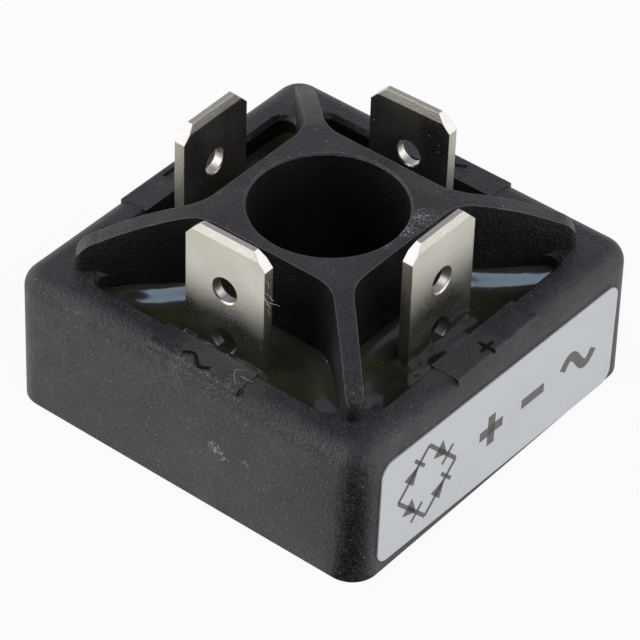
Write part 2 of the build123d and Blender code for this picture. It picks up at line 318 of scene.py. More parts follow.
@dataclass(frozen=True)
class Effects:
    """The shared effect groups, built once."""

    grain: Tree = field(default_factory=grain_group)
    dust: Tree = field(default_factory=dust_group)
    wear: Tree = field(default_factory=wear_and_highlight_group)


# Finishes, with their lengths in metres


@dataclass(frozen=True)
class MouldedPlastic:
    """Black moulded plastic with spark texture, dust and scuff marks, painted light on its front face,
    painted shade in the wells and the bore, and worn edges that are partly painted highlight.
    """

    effects: Effects
    name: str = "moulded_plastic"
    dark: Colour = (0.0022, 0.002, 0.0025)
    light: Colour = (0.032, 0.0308, 0.0348)
    # painted light: lighter colour given to the front face
    painted_front_light: Colour = (0.062, 0.058, 0.063)
    powder: Colour = (0.46, 0.47, 0.5)
    rubbed_and_highlight: Colour = (0.3, 0.295, 0.31)
    tint: Colour = (1.0, 0.97, 1.0)
    roughness: float = 0.5
    specular: float = 0.5
    dust_amount: float = 1.0
    haze: float = 0.05
    edge_width: float = 0.00012
    grain_depth: float = 0.00012
    front_face: Pair = (-0.0138, -0.0141)
    front_corner: Pair = (0.0126, 0.0114)
    outer_walls: Pair = (0.01172, 0.0119)
    raised_edges: Pair = (0.0106, 0.0112)
    scuffs_and_edge_sheen: tuple[Scuff, ...] = (
        ((0.0052, 0.0012, 0.01457), 0.0003, 0.0012, 1.0),
        ((0.0054, 0.0030, 0.01457), 0.0003, 0.0011, 0.85),
        ((0.0051, -0.0008, 0.01457), 0.0002, 0.0009, 0.5),
        ((0.0027, -0.01425, 0.0052), 0.0003, 0.0006, 1.0),
        ((0.0033, -0.01425, 0.0048), 0.0002, 0.0005, 1.0),
        ((-0.0028, -0.01425, 0.0075), 0.0001, 0.0003, 0.7),
        ((0.0052, -0.01425, 0.0053), 0.0001, 0.0004, 0.6),
        # These four put pale specks along the front pad's outer edge: partly crumb specks, partly painted
        # highlight where the edge catches the light.
        ((-0.0026, -0.0136, 0.0101), 0.0002, 0.0014, 0.14),
        ((-0.0005, -0.0137, 0.0100), 0.0002, 0.0016, 0.24),
        ((0.0017, -0.0137, 0.0100), 0.0002, 0.0014, 0.18),
        ((0.0036, -0.0134, 0.0102), 0.0002, 0.0013, 0.24),
    )

    def crumbs_and_edge_sheen(self, nodes: Nodes, place: Socket) -> Socket:
        """Powdery crumb specks inside the scuff marks; along the front pad's outer edge they are partly
        painted highlight.

        Args:
            nodes: nodes of the material.
            place: the point's place.

        Returns:
            The powder's mask.
        """
        area = 0.0
        for centre, inner, outer, gain in self.scuffs_and_edge_sheen:
            area = nodes.largest(area, nodes.times(nodes.spot(place, centre, inner, outer), gain))
        return nodes.times(area, nodes.ramp(nodes.noise(place, 6200.0, 4.0, 0.75), 0.51, 0.6))

    def open_air_unshaded(self, nodes: Nodes, x: Socket, y: Socket) -> Socket:
        """Everything but the upright walls in the wells and the bore, where no dust settles and the colour
        is darkened as painted shade.

        Args:
            nodes: nodes of the material.
            x: the place's first value.
            y: the place's second value.

        Returns:
            The mask.
        """
        far = nodes.largest(nodes.math("ABSOLUTE", x), nodes.math("ABSOLUTE", y))
        normal = nodes.split(nodes.add("ShaderNodeNewGeometry").outputs["Normal"])
        return nodes.largest(nodes.ramp(far, *self.outer_walls), nodes.ramp(normal["Z"], 0.3, 0.6))

    def build(self) -> Material:
        """Make the material.

        Returns:
            The finished material.
        """
        nodes = Surface(self.name)
        place = nodes.place()
        x, y, z = nodes.split(place)
        grain = nodes.group(self.effects.grain)
        mottle = nodes.ramp(grain["Mottle"], 0.44, 0.62)
        # painted light: the front face, except near its front corner, is coloured lighter
        front = nodes.times(nodes.ramp(y, *self.front_face), nodes.ramp(x, *self.front_corner))
        open_air_unshaded = self.open_air_unshaded(nodes, x, y)
        edges = nodes.group(self.effects.wear, Width=self.edge_width, Break=0.6)["Mask"]
        raised = nodes.ramp(z, *self.raised_edges, 0.15, 0.8)
        haze = self.haze * self.dust_amount
        dust = nodes.group(self.effects.dust, Amount=self.dust_amount, Haze=haze)["Mask"]
        dust = nodes.largest(nodes.times(dust, open_air_unshaded), self.crumbs_and_edge_sheen(nodes, place))
        base = nodes.cover(
            nodes.mix(mottle, self.dark, nodes.mix(front, self.light, self.painted_front_light)),
            # painted shade: the upright walls in the wells and the bore are darkened
            (nodes.ramp(open_air_unshaded, 0.0, 1.0, 0.8, 0.0), self.dark),
            # partly painted highlight: pale top edges stand in for the light a small rounding would catch
            (nodes.times(edges, raised), self.rubbed_and_highlight),
            (dust, self.powder),
        )
        rough = nodes.ramp(mottle, 0.0, 1.0, self.roughness - 0.06, self.roughness + 0.08)
        nodes.wire(Base_Color=base, Roughness=nodes.largest(rough, dust))
        nodes.wire(Specular_IOR_Level=self.specular, Specular_Tint=self.tint)
        nodes.bump(grain["Height"], self.grain_depth, 0.8)
        return nodes.material


@dataclass(frozen=True)
class PottingResin:
    """Dark olive resin, poured and glossy, with a little dust on it."""

    effects: Effects
    name: str = "potting_resin_gloss"
    deep: Colour = (0.034, 0.031, 0.0165)
    thin: Colour = (0.054, 0.0495, 0.0265)
    powder: Colour = (0.35, 0.35, 0.3)
    tint: Colour = (0.8, 0.89, 1.0)
    roughness: float = 0.09
    refraction: float = 1.55
    ripple_depth: float = 0.0001

    def build(self) -> Material:
        """Make the material.

        Returns:
            The finished material.
        """
        nodes = Surface(self.name)
        place = nodes.place()
        cloud = nodes.ramp(nodes.noise(place, 240.0, 3.0, 0.6), 0.35, 0.7)
        dust = nodes.group(self.effects.dust, Amount=0.35, Haze=0.015)["Mask"]
        smear = nodes.noise(place, 500.0, 3.0, 0.5)
        rough = nodes.ramp(smear, 0.3, 0.8, self.roughness, self.roughness + 0.07)
        nodes.wire(Base_Color=nodes.cover(self.deep, (cloud, self.thin), (dust, self.powder)))
        nodes.wire(Roughness=nodes.largest(rough, dust))
        nodes.wire(IOR=self.refraction, Specular_Tint=self.tint)
        nodes.bump(nodes.noise(place, 330.0, 1.5, 0.4), self.ripple_depth, 0.3)
        return nodes.material


@dataclass(frozen=True)
class TinnedMetal:
    """Satin tin plate on brass, with pale sheared corners, faint stains and dust."""

    effects: Effects
    name: str = "tinned_brass"
    bright: Colour = (0.6, 0.575, 0.515)
    stained: Colour = (0.5, 0.475, 0.415)
    sheared: Colour = (0.4, 0.375, 0.32)
    fresh_cut: Colour = (0.64, 0.62, 0.585)
    nose: Colour = (0.46, 0.44, 0.39)
    amber: Colour = (0.6, 0.42, 0.16)
    powder: Colour = (0.75, 0.75, 0.73)
    amber_place: Point = (0.00905, -0.00335, 0.0151)
    amber_radii: Pair = (0.0001, 0.0004)
    edge_round: float = 0.00007
    grain_depth: float = 0.00002
    roughness: float = 0.26
    lean: float = 0.1

    def leaned(self, nodes: Nodes, facing: Socket, normal: Socket) -> Socket:
        """Shading normal tilted up on the outer face, as if the blade leaned a little inward at its top.
        """
        rise = nodes.add("ShaderNodeCombineXYZ", Z=nodes.times(facing, self.lean)).outputs[0]
        return nodes.vector("NORMALIZE", nodes.vector("ADD", normal, rise))

    def build(self) -> Material:
        """Make the material.

        Returns:
            The finished material.
        """
        nodes = Surface(self.name)
        place = nodes.place()
        normal = nodes.add("ShaderNodeBevel", samples=4, Radius=self.edge_round).outputs[0]
        facing = nodes.vector("DOT_PRODUCT", normal, nodes.level_way(place))
        flat = nodes.math("ABSOLUTE", facing)
        edge = nodes.ramp(flat, 0.7, 0.45)
        rising = nodes.split(normal)["Z"]
        corner = nodes.times(nodes.ramp(rising, 0.4, 0.55), nodes.ramp(rising, 0.95, 0.88))
        nose = nodes.times(nodes.ramp(rising, 0.1, 0.18), nodes.ramp(flat, 0.6, 0.75))
        fine = nodes.noise(place, 5200.0, 4.0, 0.7)
        blotch = nodes.ramp(nodes.noise(place, 380.0, 2.0, 0.5), 0.3, 0.75)
        rest = nodes.ramp(corner, 0.0, 1.0, 1.0, 0.0)
        dust = nodes.group(self.effects.dust, Amount=0.5, Haze=0.0)["Mask"]
        base = nodes.cover(
            self.bright,
            (nodes.times(blotch, 0.4), self.stained),
            (nodes.times(edge, nodes.ramp(fine, 0.3, 0.7, 0.3, 0.8), rest), self.sheared),
            (nodes.times(edge, corner), self.fresh_cut),
            (nose, self.nose),
            (nodes.times(nodes.spot(place, self.amber_place, *self.amber_radii), 0.8), self.amber),
            (dust, self.powder),
        )
        mixed = nodes.total((blotch, 0.4), (fine, 0.6))
        rough = nodes.ramp(mixed, 0.2, 0.8, self.roughness, self.roughness + 0.1)
        rough = nodes.math("ADD", rough, nodes.times(edge, 0.14))
        nodes.wire(Base_Color=base, Roughness=nodes.largest(rough, dust))
        nodes.wire(Metallic=nodes.math("SUBTRACT", 1.0, dust))
        nodes.bump(fine, self.grain_depth, 0.65, Normal=self.leaned(nodes, facing, normal))
        return nodes.material


@dataclass(frozen=True)
class SatinFilm:
    """Light grey self-adhesive film of the label."""

    effects: Effects
    name: str = "label_film"
    sheet: Colour = (0.56, 0.572, 0.605)
    grubby: Colour = (0.48, 0.49, 0.515)
    roughness: float = 0.42
    grain_depth: float = 0.00001

    def build(self) -> Material:
        """Make the material.

        Returns:
            The finished material.
        """
        nodes = Surface(self.name)
        place = nodes.place()
        fibre = nodes.noise(place, 2600.0, 4.0, 0.6)
        cloud = nodes.ramp(nodes.noise(place, 170.0, 3.0, 0.55), 0.4, 0.75)
        dust = nodes.group(self.effects.dust, Amount=0.12, Haze=0.0)["Mask"]
        streaks = nodes.ramp(fibre, 0.4, 0.75, 0.0, 0.12)
        masks = (nodes.times(cloud, 0.25), streaks, nodes.times(dust, 0.4))
        base = nodes.cover(self.sheet, *[(mask, self.grubby) for mask in masks])
        nodes.wire(Base_Color=base, Roughness=self.roughness)
        nodes.bump(fibre, self.grain_depth, 0.4)
        return nodes.material


@dataclass(frozen=True)
class PrintInk:
    """Dark grey print on the label, a little uneven."""

    name: str = "label_ink"
    solid: Colour = (0.085, 0.08, 0.072)
    faint: Colour = (0.15, 0.143, 0.13)

    def build(self) -> Material:
        """Make the material.

        Returns:
            The finished material.
        """
        nodes = Surface(self.name)
        uneven = nodes.ramp(nodes.noise(nodes.place(), 2200.0, 4.0, 0.7), 0.4, 0.75)
        nodes.wire(Base_Color=nodes.mix(uneven, self.solid, self.faint))
        nodes.wire(Roughness=nodes.ramp(uneven, 0.0, 1.0, 0.5, 0.62))
        return nodes.material


@dataclass(frozen=True)
class PlainSolid:
    """Finish of a hidden or lesser piece: two tones, a roughness and a fine grain."""

    name: str
    first: Colour
    second: Colour
    metallic: float = 0.0
    roughness: float = 0.5
    scale: float = 900.0
    depth: float = 0.00001

    def build(self) -> Material:
        """Make the material.

        Returns:
            The finished material.
        """
        nodes = Surface(self.name)
        tone = nodes.ramp(nodes.noise(nodes.place(), self.scale, 4.0, 0.65), 0.35, 0.7)
        roughest = min(1.0, self.roughness + 0.12)
        nodes.wire(Base_Color=nodes.mix(tone, self.first, self.second), Metallic=self.metallic)
        nodes.wire(Roughness=nodes.ramp(tone, 0.0, 1.0, self.roughness, roughest))
        nodes.bump(tone, self.depth, 0.5)
        return nodes.material


@dataclass(frozen=True)
class GroundMetal:
    """Nickel-plated plate with the fine parallel lines of grinding."""

    name: str = "ground_nickel"
    pale: Colour = (0.62, 0.6, 0.56)
    dull: Colour = (0.42, 0.4, 0.37)
    stretch: Point = (0.03, 1.0, 1.0)
    line_depth: float = 0.00001

    def build(self) -> Material:
        """Make the material.

        Returns:
            The finished material.
        """
        nodes = Surface(self.name)
        place = nodes.place()
        drawn = nodes.add("ShaderNodeMapping", Vector=place, Scale=self.stretch).outputs[0]
        lines = nodes.noise(drawn, 6000.0, 4.0, 0.7)
        cloud = nodes.ramp(nodes.noise(place, 150.0, 4.0, 0.6), 0.35, 0.75)
        masks = (nodes.ramp(lines, 0.35, 0.7, 0.0, 0.5), nodes.times(cloud, 0.35))
        base = nodes.cover(self.pale, *[(mask, self.dull) for mask in masks])
        nodes.wire(Base_Color=base, Metallic=1.0, Roughness=nodes.ramp(cloud, 0.0, 1.0, 0.26, 0.4))
        nodes.bump(lines, self.line_depth, 0.6)
        return nodes.material


# Mesh helpers


def mesh_object(name: str, shape: Shape, material: Material, smooth: bool = True) -> Piece:
    """Turn a bmesh into a piece that rides on the part.

    Args:
        name: the piece's name.
        shape: the finished bmesh, in metres in the part's frame.
        material: its material.
        smooth: shade faces smooth where they meet at a low angle.

    Returns:
        The new object.
    """
    bmesh.ops.remove_doubles(shape, verts=shape.verts, dist=MERGE_WITHIN)
    bmesh.ops.recalc_face_normals(shape, faces=shape.faces)
    mesh = bpy.data.meshes.new(name)
    shape.to_mesh(mesh)
    shape.free()
    mesh.materials.append(material)
    piece = bpy.data.objects.new(name, mesh)
    bpy.context.scene.collection.objects.link(piece)
    if smooth:
        for face in mesh.polygons:
            face.use_smooth = True
        mesh.set_sharp_from_angle(angle=SMOOTH_BELOW)
    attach(piece, ROOT)
    LOG.info("piece %s: %d faces", name, len(mesh.polygons))
    return piece


def join(shape: Shape, low: Ring, high: Ring) -> None:
    """Close the band between two rings.

    Args:
        shape: bmesh that holds both rings.
        low: the first ring.
        high: the other ring, with as many points.
    """
    for k, point in enumerate(low):
        after = (k + 1) % len(low)
        shape.faces.new((point, low[after], high[after], high[k]))


def tube(shape: Shape, path: list[Vector], radii: list[float], around: int) -> None:
    """Closed tube along a path.

    Args:
        shape: bmesh that receives the tube.
        path: centre points.
        radii: radius at each point.
        around: number of sides.
    """
    across = Vector((0.13, 0.31, 0.94))
    rings = []
    for i, centre in enumerate(path):
        ahead = path[min(i + 1, len(path) - 1)] - path[max(i - 1, 0)]
        side = ahead.cross(across).normalized()
        other = ahead.cross(side).normalized()
        ring = []
        for k in range(around):
            angle = 2 * math.pi * k / around
            offset = side * math.cos(angle) + other * math.sin(angle)
            ring.append(shape.verts.new(centre + offset * radii[i]))
        rings.append(ring)
    for low, high in zip(rings, rings[1:]):
        join(shape, low, high)
    shape.faces.new(rings[0])
    shape.faces.new(list(reversed(rings[-1])))


# The object's own pieces


@dataclass
class RimSigns:
    """Signs moulded in relief on the four rim pads."""

    material: Material
    half: float = 14.3 * MM
    pad_top: float = 10.44 * MM
    relief: float = 0.09 * MM
    stroke: float = 0.31 * MM
    middle_in: float = 1.05 * MM
    bar_half: float = 0.7 * MM
    wave_half: float = 1.15 * MM
    wave_height: float = 0.36 * MM
    wave_steps: int = 20
    line_steps: int = 6
    end_share: float = 0.6
    sides: int = 8

    def strokes(self, sign: Polarity) -> list[list[Pair]]:
        """Centre lines of a sign.

        Args:
            sign: what the sign shows.

        Returns:
            Lines of points along and out from the pad's middle.
        """
        across = [(-self.bar_half, 0.0), (self.bar_half, 0.0)]
        if sign is Polarity.MINUS:
            return [across]
        if sign is Polarity.PLUS:
            return [across, [(y, x) for x, y in across]]
        shares = [i / self.wave_steps for i in range(self.wave_steps + 1)]
        height = self.wave_height
        return [[((2 * t - 1) * self.wave_half, height * math.sin(2 * math.pi * t)) for t in shares]]

    def build(self, side: Side, sign: Polarity, shift: float, name: str) -> Piece:
        """Make the sign of one side.

        Args:
            side: which side of the square.
            sign: what the sign shows.
            shift: place of its middle along the side.
            name: the piece's name.

        Returns:
            The piece.
        """
        shape = bmesh.new()
        level = self.pad_top + self.relief - self.stroke / 2
        for line in self.strokes(sign):
            points = []
            for (x0, y0), (x1, y1) in zip(line, line[1:]):
                shares = [k / self.line_steps for k in range(self.line_steps)]
                points += [(x0 + (x1 - x0) * t, y0 + (y1 - y0) * t) for t in shares]
            points.append(line[-1])
            path = [Vector((shift + x, y - self.half + self.middle_in, level)) for x, y in points]
            radii = [self.stroke / 2] * len(path)
            radii[0] *= self.end_share
            radii[-1] *= self.end_share
            tube(shape, path, radii, self.sides)
        shape.transform(side.turn)
        return mesh_object(name, shape, self.material)


@dataclass
class SideLabel:
    """Print on the side label: plain wiring signs, drawn as flat raised shapes.

    The print's own lengths are in millimetres in the label's plane.
    """

    ink: Material
    middle: float = 4.5 * MM
    tilt: float = -1.75
    lean: float = 0.45
    half: float = 14.3 * MM
    film: float = 0.1 * MM
    print_levels: Pair = (-0.002 * MM, 0.008 * MM)
    bridge: Pair = (-7.6, 0.0)
    bridge_reach: float = 2.9
    bridge_line: float = 0.3
    diode_size: float = 1.35
    diodes: tuple[tuple[int, int, int], ...] = ((-1, 1, 45), (1, 1, -45), (-1, -1, -45), (1, -1, 45))
    plus: tuple[Pair, ...] = ((-2.2, 0.0), (0.2, 0.0), (-1.0, -1.2), (-1.0, 1.2))
    minus: tuple[Pair, ...] = ((2.2, 0.0), (4.6, 0.0))
    bar_line: float = 0.75
    wave_start: float = 6.6
    wave_length: float = 3.4
    wave_height: float = 0.75
    wave_half: float = 0.36
    wave_steps: int = 22

    def matrix(self) -> Matrix:
        """Placement of the label's plane.

        Returns:
            Matrix that sets X along the side, Y up and Z outward.
        """
        lean = math.radians(self.lean)
        face = self.half - self.middle * math.tan(lean) + self.film / math.cos(lean)
        axes = Matrix(((0, 0, 1), (1, 0, 0), (0, 1, 0))).to_4x4()
        tip = Matrix.Rotation(-lean, 4, "Y")
        turn = Matrix.Rotation(math.radians(self.tilt), 4, "Z")
        return Matrix.Translation((face, 0, self.middle)) @ tip @ axes @ turn

    def patch(self, shape: Shape, corners: list[Pair]) -> None:
        """Flat raised polygon.

        Args:
            shape: bmesh that receives it.
            corners: its corners.
        """
        low, high = ([shape.verts.new((x * MM, y * MM, z)) for x, y in corners] for z in self.print_levels)
        shape.faces.new(high)
        shape.faces.new(list(reversed(low)))
        join(shape, low, high)

    def line(self, shape: Shape, start: Pair, end: Pair, width: float) -> None:
        """Straight printed line.

        Args:
            shape: bmesh that receives it.
            start: its first end.
            end: its other end.
            width: its width.
        """
        dx = end[0] - start[0]
        dy = end[1] - start[1]
        length = math.hypot(dx, dy)
        nx = -dy / length * width / 2
        ny = dx / length * width / 2
        sides = ((start, 1), (start, -1), (end, -1), (end, 1))
        self.patch(shape, [(x + way * nx, y + way * ny) for (x, y), way in sides])

    def diode(self, shape: Shape, centre: Pair, angle: float) -> None:
        """Diode sign: a filled triangle and the bar at its tip.

        Args:
            shape: bmesh that receives it.
            centre: its middle.
            angle: its turn in degrees.
        """
        size = self.diode_size
        cos = math.cos(math.radians(angle))
        sin = math.sin(math.radians(angle))

        def put(x: float, y: float) -> Pair:
            """Point of the sign after its turn."""
            return centre[0] + size * (x * cos - y * sin), centre[1] + size * (x * sin + y * cos)

        self.patch(shape, [put(-0.5, -0.5), put(0.5, 0.0), put(-0.5, 0.5)])
        self.line(shape, put(0.58, -0.55), put(0.58, 0.55), 0.2 * size)

    def wave(self, shape: Shape) -> None:
        """Wave sign, as a band of short patches.

        Args:
            shape: bmesh that receives it.
        """
        low = []
        high = []
        for i in range(self.wave_steps + 1):
            angle = 2 * math.pi * i / self.wave_steps
            x = self.wave_start + self.wave_length * i / self.wave_steps
            y = self.wave_height * math.sin(angle)
            slope = self.wave_height * 2 * math.pi / self.wave_length * math.cos(angle)
            scale = self.wave_half / math.hypot(1.0, slope)
            high.append((x - slope * scale, y + scale))
            low.append((x + slope * scale, y - scale))
        for i in range(self.wave_steps):
            self.patch(shape, [low[i], low[i + 1], high[i + 1], high[i]])

    def build(self) -> Piece:
        """Make the print.

        Returns:
            The piece.
        """
        shape = bmesh.new()
        x, y = self.bridge
        reach = self.bridge_reach
        corners = [(x + reach, y), (x, y + reach), (x - reach, y), (x, y - reach)]
        for start, end in zip(corners, corners[1:] + corners[:1]):
            self.line(shape, start, end, self.bridge_line)
        for along, up, angle in self.diodes:
            self.diode(shape, (x + along * reach / 2, y + up * reach / 2), angle)
        ends = self.plus + self.minus
        for start, end in zip(ends[::2], ends[1::2]):
            self.line(shape, start, end, self.bar_line)
        self.wave(shape)
        shape.transform(self.matrix())
        return mesh_object("label_print", shape, self.ink, smooth=False)


def eased(share: float) -> float:
    """Share between 0 and 1 with a soft start and end."""
    return share * share * (3 - 2 * share)


@dataclass
class ResinPool:
    """Poured surface of the resin in the four wells, drawn up every wall and round each blade.

    Lengths are in millimetres. Every well is worked out as the front one, with x along the side
    and y outward from the middle of the part. Its index counts the wells from the front.
    """

    material: Material
    level: float = 8.43
    well_half: float = 11.7
    boss_half: float = 6.15
    rib_slope: float = 1.0191
    rib_offset: float = 1.01692
    flow_radius: float = 3.0
    rib_climbs: tuple[Pair, ...] = ((0.77, 0.35), (0.35, 0.77), (0.6, 0.6), (0.8, 0.6))
    corner_falls: tuple[float, ...] = (0.36, 0.0, 0.0, 0.0)
    corner_start: float = 9.0
    corner_length: float = 1.8
    change_length: float = 4.0
    reach: float = 1.3
    boss_climb: float = 0.3
    boss_reach: float = 0.75
    outer_climb: float = 0.25
    outer_reach: float = 0.8
    blade_climb: float = 0.22
    blade_reach: float = 0.42
    blade_middle: float = 9.302
    blade_half: Pair = (3.15, 0.4)
    swell: float = 0.05
    swell_reach: float = 0.8
    bubble_rise: float = 0.08
    bubble_radius: float = 0.15
    rows: int = 66
    columns: int = 150
    overlap: float = 0.04
    depth: float = 0.25
    seats: tuple[Point, ...] = (
        (-0.26, 0.17, 0.8),
        (-0.2, -0.39, -0.2),
        (0.27, -0.35, 1.5),
        (0.27, 0.25, 0.8),
    )
    bubbles: tuple[tuple[int, float, float], ...] = (
        (0, -3.3, 9.97),
        (0, -2.45, 9.99),
        (0, 0.3, 9.97),
        (0, 2.2, 10.3),
        (1, -2.6, 9.8),
        (1, -3.6, 10.2),
        (1, 2.9, 9.65),
        (2, 1.6, 10.0),
        (3, -1.9, 10.1),
    )

    def steepness(self) -> float:
        """Length along a rib's side for each millimetre outward."""
        return math.hypot(1.0, self.rib_slope)

    def rib_gap(self, x: float, y: float) -> float:
        """Distance to the nearer rib, below zero inside it."""
        return (self.rib_slope * y - self.rib_offset - abs(x)) / self.steepness()

    def flow_centre(self) -> Pair:
        """Middle of the round between the boss wall and the rib's side."""
        out = self.boss_half + self.flow_radius
        return self.rib_slope * out - self.rib_offset - self.flow_radius * self.steepness(), out

    def half_width(self, y: float) -> float:
        """Half of the well's width.

        Args:
            y: distance outward.

        Returns:
            The half width there.
        """
        y = min(max(y, self.boss_half), self.well_half)
        centre_x, centre_y = self.flow_centre()
        if y >= centre_y - self.flow_radius * self.rib_slope / self.steepness():
            return self.rib_slope * y - self.rib_offset
        return centre_x + math.sqrt(max(0.0, self.flow_radius**2 - (centre_y - y) ** 2))

    def wall_gap(self, x: float, y: float) -> float:
        """Distance to the boss or the nearer rib.

        Args:
            x: place along the side.
            y: distance outward.

        Returns:
            The distance.
        """
        centre_x, centre_y = self.flow_centre()
        dx = abs(x) - centre_x
        dy = centre_y - y
        if dx > 0 and dy > dx * self.rib_slope:
            return max(0.0, self.flow_radius - math.hypot(dx, dy))
        return max(0.0, min(self.rib_gap(x, y), y - self.boss_half))

    def rib_share(self, x: float, y: float) -> float:
        """Share of the nearer rib, from 0 beside the boss to 1 beside the rib."""
        boss = max(0.0, y - self.boss_half)
        return eased(boss / max(1e-6, max(0.0, self.rib_gap(x, y)) + boss))

    def blade_gap(self, x: float, y: float, index: int) -> float:
        """Distance to the blade that stands in the well.

        Args:
            x: place along the side.
            y: distance outward.
            index: which well.

        Returns:
            The distance, 0 inside the blade.
        """
        shift_x, shift_y, degrees = self.seats[index]
        turn = math.radians(degrees)
        dx = x - shift_x
        dy = self.blade_middle - y + shift_y
        along = abs(dx * math.cos(turn) + dy * math.sin(turn))
        across = abs(-dx * math.sin(turn) + dy * math.cos(turn))
        return math.hypot(max(0.0, along - self.blade_half[0]), max(0.0, across - self.blade_half[1]))

    def wall_climb(self, x: float, y: float, index: int) -> float:
        """How far the walls draw the resin up.

        Args:
            x: place along the side.
            y: distance outward.
            index: which well.

        Returns:
            Height above the level.
        """
        share = self.rib_share(x, y)
        low, high = self.rib_climbs[index]
        side = min(1.0, max(0.0, x / self.change_length + 0.5))
        near = min(1.0, max(0.0, (y - self.corner_start) / self.corner_length))
        fall = 1.0 - self.corner_falls[index] * eased(near)
        climb = self.boss_climb + ((low + (high - low) * side) * fall - self.boss_climb) * share
        reach = self.boss_reach + (self.reach - self.boss_reach) * share
        inner = climb * math.exp(-((self.wall_gap(x, y) / reach) ** 2))
        outer = self.outer_climb * math.exp(-max(0.0, self.well_half - y) / self.outer_reach)
        return max(inner, outer) + 0.5 * min(inner, outer)

    def height(self, x: float, y: float, index: int) -> float:
        """Height of the resin at a point of a well.

        Args:
            x: place along the side.
            y: distance outward.
            index: which well.

        Returns:
            Height above the base.
        """
        place = Vector((x * 0.45 + 17.0 * index, y * 0.45, 0.3))
        ripple = 0.022 * noise.noise(place) + 0.007 * noise.noise(place * 3.1)
        gap = self.blade_gap(x, y, index)
        swell = noise.noise(Vector((x * 1.1, y * 1.1, 4.0 + index)))
        ripple += self.swell * math.exp(-gap / self.swell_reach) * swell
        uneven = 1.0 + 0.6 * noise.noise(Vector((x * 0.8 + 5.0 * index, y * 0.5, 2.0)))
        drawn = uneven * self.blade_climb * math.exp(-((gap / self.blade_reach) ** 2))
        for well, middle_x, middle_y in self.bubbles:
            if well == index:
                away = ((x - middle_x) ** 2 + (y - middle_y) ** 2) / self.bubble_radius**2
                drawn += self.bubble_rise * math.exp(-away)
        return self.level + ripple + self.wall_climb(x, y, index) + drawn

    def surface(self, shape: Shape, side: Side, index: int) -> list[Ring]:
        """Points of one well's surface.

        Args:
            shape: bmesh that receives them.
            side: which side of the square.
            index: which well.

        Returns:
            Rows of points, from the boss outward.
        """
        inner = self.boss_half - self.overlap
        span = self.well_half - self.boss_half + 2 * self.overlap
        rows = []
        for i in range(self.rows + 1):
            y = inner + span * (i / self.rows)
            half = self.half_width(y) + self.overlap
            across = [half * (2 * j / self.columns - 1) for j in range(self.columns + 1)]
            places = [side.turn @ Vector((x, -y, self.height(x, y, index))) for x in across]
            rows.append([shape.verts.new(place * MM) for place in places])
        return rows

    def build(self) -> Piece:
        """Make the surface as four closed shells.

        Returns:
            The piece.
        """
        shape = bmesh.new()
        floor = (self.level - self.depth) * MM
        for index, side in enumerate(Side):
            top = self.surface(shape, side, index)
            for near, far in zip(top, top[1:]):
                for j in range(self.columns):
                    shape.faces.new((near[j], far[j], far[j + 1], near[j + 1]))
            right = [row[-1] for row in top[:-1]]
            left = [row[0] for row in top[:0:-1]]
            rim = top[0][:-1] + right + top[-1][:0:-1] + left
            base = [shape.verts.new((vert.co.x, vert.co.y, floor)) for vert in rim]
            join(shape, rim, base)
            shape.faces.new(base)
        return mesh_object("resin_surface", shape, self.material)


@dataclass
class Lint:
    """Fine fibres caught on the front blade and the front pad, with their points in millimetres."""

    material: Material
    radius: float = 0.008 * MM
    sides: int = 5
    steps: int = 4
    softenings: int = 3
    fibres: tuple[tuple[Point, ...], ...] = (
        ((2.95, -9.95, 15.2), (3.3, -9.8, 15.0), (3.6, -9.9, 14.8), (3.75, -10.0, 15.0)),
        ((2.95, -9.9, 14.6), (3.35, -9.9, 14.5), (3.8, -9.8, 14.6), (4.0, -9.7, 14.5)),
        ((2.9, -9.95, 14.9), (3.2, -9.95, 14.6), (3.3, -10.0, 14.3)),
        ((3.23, -12.17, 10.5), (2.95, -12.5, 10.7), (3.05, -12.9, 10.66), (3.64, -13.42, 10.47)),
        ((3.5, -12.7, 10.5), (3.9, -12.8, 10.6), (4.3, -12.6, 10.45)),
        ((2.95, -9.8, 16.0), (3.15, -9.75, 15.9), (3.2, -9.8, 15.6)),
        ((2.95, -9.7, 14.1), (3.2, -9.7, 14.2), (3.25, -9.75, 13.9)),
        ((2.9, -9.6, 13.6), (3.1, -9.6, 13.5), (3.15, -9.6, 13.2)),
    )

    def build(self) -> Piece:
        """Make the fibres.

        Returns:
            The piece.
        """
        shape = bmesh.new()
        for fibre in self.fibres:
            points = [Vector(point) * MM for point in fibre]
            path = []
            for start, end in zip(points, points[1:]):
                path += [start.lerp(end, k / self.steps) for k in range(self.steps)]
            path.append(points[-1])
            for _ in range(self.softenings):
                for i in range(1, len(path) - 1):
                    path[i] = (path[i - 1] + path[i] * 2 + path[i + 1]) / 4
            tube(shape, path, [self.radius] * len(path), self.sides)
        return mesh_object("lint_fibres", shape, self.material)


# The studio


@dataclass(frozen=True)
class Lamp:
    """Soft rectangular lamp aimed at the part."""

    name: str
    place: Point
    size: Pair
    power: float
    colour: Colour
    aim: Point = (0.0, 0.0, 0.008)

    def build(self) -> None:
        """Hang the lamp."""
        data = bpy.data.lights.new(self.name, "AREA")
        data.shape = "RECTANGLE"
        data.size, data.size_y = self.size
        data.energy = self.power
        data.color = self.colour
        lamp = bpy.data.objects.new(self.name, data)
        bpy.context.scene.collection.objects.link(lamp)
        lamp.location = self.place
        way = Vector(self.aim) - Vector(self.place)
        lamp.rotation_euler = way.to_track_quat("-Z", "Y").to_euler()


